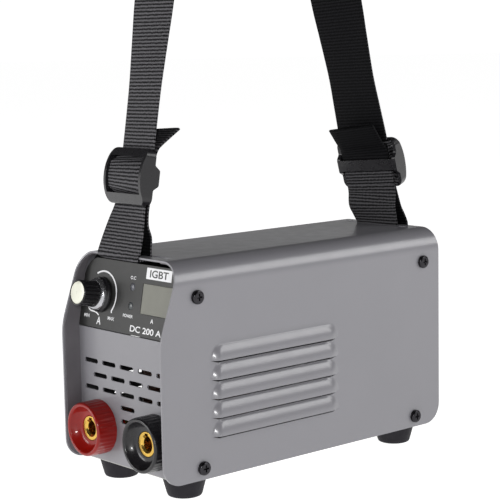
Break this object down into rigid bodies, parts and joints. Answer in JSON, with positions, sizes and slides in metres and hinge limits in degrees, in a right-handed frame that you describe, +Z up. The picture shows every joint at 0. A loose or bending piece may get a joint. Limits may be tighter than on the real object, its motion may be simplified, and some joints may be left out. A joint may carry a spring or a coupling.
{
  "type": "stick welding inverter",
  "caption": "Compact stick welding inverter: louvred sheet-steel case, tilted control panel with knob and display, two bayonet sockets, rubber feet, rear fan and webbing shoulder strap.",
  "frame": {"origin": "on the ground, under the centre of the overall box", "axes": "+Z up, the front panel faces -Y, the louvred right side faces +X"},
  "size_m": [0.1148, 0.268, 0.5319],
  "materials": {
    "grey_paint": "satin grey powder coat",
    "plated_steel": "zinc plated",
    "black_plastic": "fine moulded texture",
    "panel_black": "dark printed fascia",
    "smoke_lens": "smoked clear plastic",
    "circuit_board": "green solder mask",
    "white_print": "white label",
    "cream_plastic": "pale knob cap",
    "red_plastic": "moulded red",
    "black_gloss": "moulded black",
    "brass": "machined",
    "copper": "copper bar",
    "black_steel": "black oxide",
    "rubber": "moulded rubber",
    "aluminium": "extruded",
    "ferrite": "sintered ferrite",
    "winding": "enamelled copper wire",
    "capacitor_sleeve": "shrink sleeve",
    "led_green": "diffused lamp",
    "led_amber": "diffused lamp",
    "webbing": "ribbed woven polypropylene"
  },
  "bodies": {
    "root": {"cover": "grey_paint", "base_chassis": "plated_steel", "front_panel": "grey_paint", "front_bezel": "black_plastic", "control_panel": "panel_black", "display_lens": "smoke_lens", "display_module": "black_plastic", "control_board": "circuit_board", "panel_label": "white_print", "potentiometer": "plated_steel", "socket_body_positive": "red_plastic", "socket_body_negative": "black_gloss", "socket_insert_positive": "brass", "socket_insert_negative": "brass", "socket_locknuts": "black_plastic", "busbar_nuts": "plated_steel", "busbar_positive": "copper", "busbar_negative": "copper", "side_screws": "black_steel", "foot_screws": "plated_steel", "rear_panel": "grey_paint", "fan_frame": "black_plastic", "fan_guard": "plated_steel", "fan_screws": "black_steel", "switch_housing": "black_plastic", "cable_gland": "black_plastic", "earth_screw": "brass", "power_board": "circuit_board", "board_standoffs": "brass", "heatsink_primary": "aluminium", "heatsink_secondary": "aluminium", "power_semiconductors": "black_plastic", "bulk_capacitors": "capacitor_sleeve", "bridge_rectifier": "black_plastic", "transformer_core": "ferrite", "transformer_winding": "winding", "output_choke": "winding", "led_overheat": "led_amber", "led_power": "led_green", "foot_front_left": "rubber", "foot_front_right": "rubber", "foot_rear_left": "rubber", "foot_rear_right": "rubber", "strap_anchor_front": "webbing", "strap_anchor_rear": "webbing"},
    "knob": {"current_knob": "black_gloss", "knob_cap": "cream_plastic", "pot_shaft": "plated_steel"},
    "rocker": {"switch_rocker": "red_plastic"},
    "fan": {"fan_rotor": "black_plastic"},
    "strap": {"strap_leg_front": "webbing", "strap_leg_rear": "webbing", "strap_crown": "webbing", "strap_return_front": "webbing", "strap_return_rear": "webbing"},
    "buckle_front": {"buckle_front": "black_gloss", "strap_tail_front": "webbing"},
    "buckle_rear": {"buckle_rear": "black_gloss", "strap_tail_rear": "webbing"}
  },
  "joints": [
    {"name": "knob_turn", "type": "hinge", "parent": "root", "child": "knob", "pos_m": [-0.031, -0.1128, 0.12671], "axis": [0, 0.9825, -0.1865], "range_deg": [0, 270]},
    {"name": "power_switch", "type": "hinge", "parent": "root", "child": "rocker", "pos_m": [-0.026, 0.1134, 0.1264], "axis": [1, 0, 0], "range_deg": [0, 20]},
    {"name": "fan_spin", "type": "hinge", "parent": "root", "child": "fan", "pos_m": [0, 0.1021, 0.0634], "axis": [0, 1, 0], "continuous": true},
    {"name": "strap_swing", "type": "hinge", "parent": "root", "child": "strap", "pos_m": [0, -0.01217, 0.1779], "axis": [0, 1, 0], "range_deg": [-30, 30]},
    {"name": "buckle_front_slide", "type": "slide", "parent": "strap", "child": "buckle_front", "axis": [0, 0.1666, 0.986], "range_m": [0, 0.03]},
    {"name": "buckle_rear_slide", "type": "slide", "parent": "strap", "child": "buckle_rear", "axis": [0, -0.2534, 0.9673], "range_m": [0, 0.03]}
  ]
}
